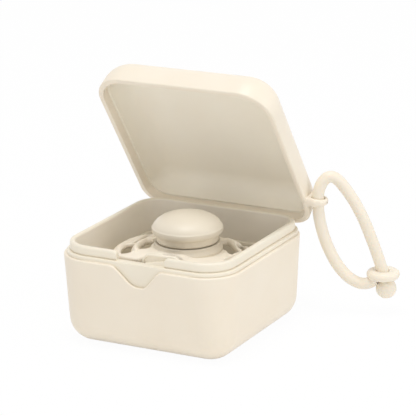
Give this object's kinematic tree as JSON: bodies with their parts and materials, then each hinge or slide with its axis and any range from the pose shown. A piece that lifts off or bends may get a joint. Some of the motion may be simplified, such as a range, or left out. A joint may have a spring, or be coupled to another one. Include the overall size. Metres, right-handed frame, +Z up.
{
  "type": "pacifier sterilizer case",
  "caption": "Pocket steam case with a hinged lid, an inner tub and tray, a silicone carrying loop, and a pacifier lying inside with its knob up.",
  "frame": {"origin": "centre of the flat face that the case rests on", "axes": "+X to the right as one faces the thumb notch, +Y from the thumb notch to the hinge, +Z up"},
  "size_m": [0.1005, 0.0843, 0.0946],
  "materials": {
    "outer_shell": "satin ivory polypropylene",
    "inner_tub": "satin ivory polypropylene",
    "steam_tray": "satin ivory polypropylene",
    "lid_shell": "satin ivory polypropylene",
    "hinge_pin": "bright drawn stainless",
    "pacifier_shield": "satin ivory polypropylene",
    "pacifier_knob": "satin ivory polypropylene",
    "pacifier_nipple": "soft silicone",
    "strap_loop": "matt silicone",
    "strap_eye": "matt silicone",
    "strap_ball": "matt silicone"
  },
  "bodies": {
    "base": {"outer_shell": "outer_shell", "inner_tub": "inner_tub", "steam_tray": "steam_tray", "hinge_pin": "hinge_pin", "pacifier_shield": "pacifier_shield", "pacifier_knob": "pacifier_knob", "pacifier_nipple": "pacifier_nipple"},
    "lid": {"lid_shell": "lid_shell"},
    "strap": {"strap_loop": "strap_loop", "strap_eye": "strap_eye", "strap_ball": "strap_ball"}
  },
  "joints": [
    {"name": "lid_hinge", "type": "hinge", "parent": "base", "child": "lid", "pos_m": [0, 0.0343, 0.0321], "axis": [-1, 0, 0], "range_deg": [-56, 34]},
    {"name": "strap_swivel", "type": "hinge", "parent": "lid", "child": "strap", "pos_m": [0.0386, 0.03218, 0.04386], "axis": [0, 0, 1], "range_deg": [-100, 45]}
  ]
}
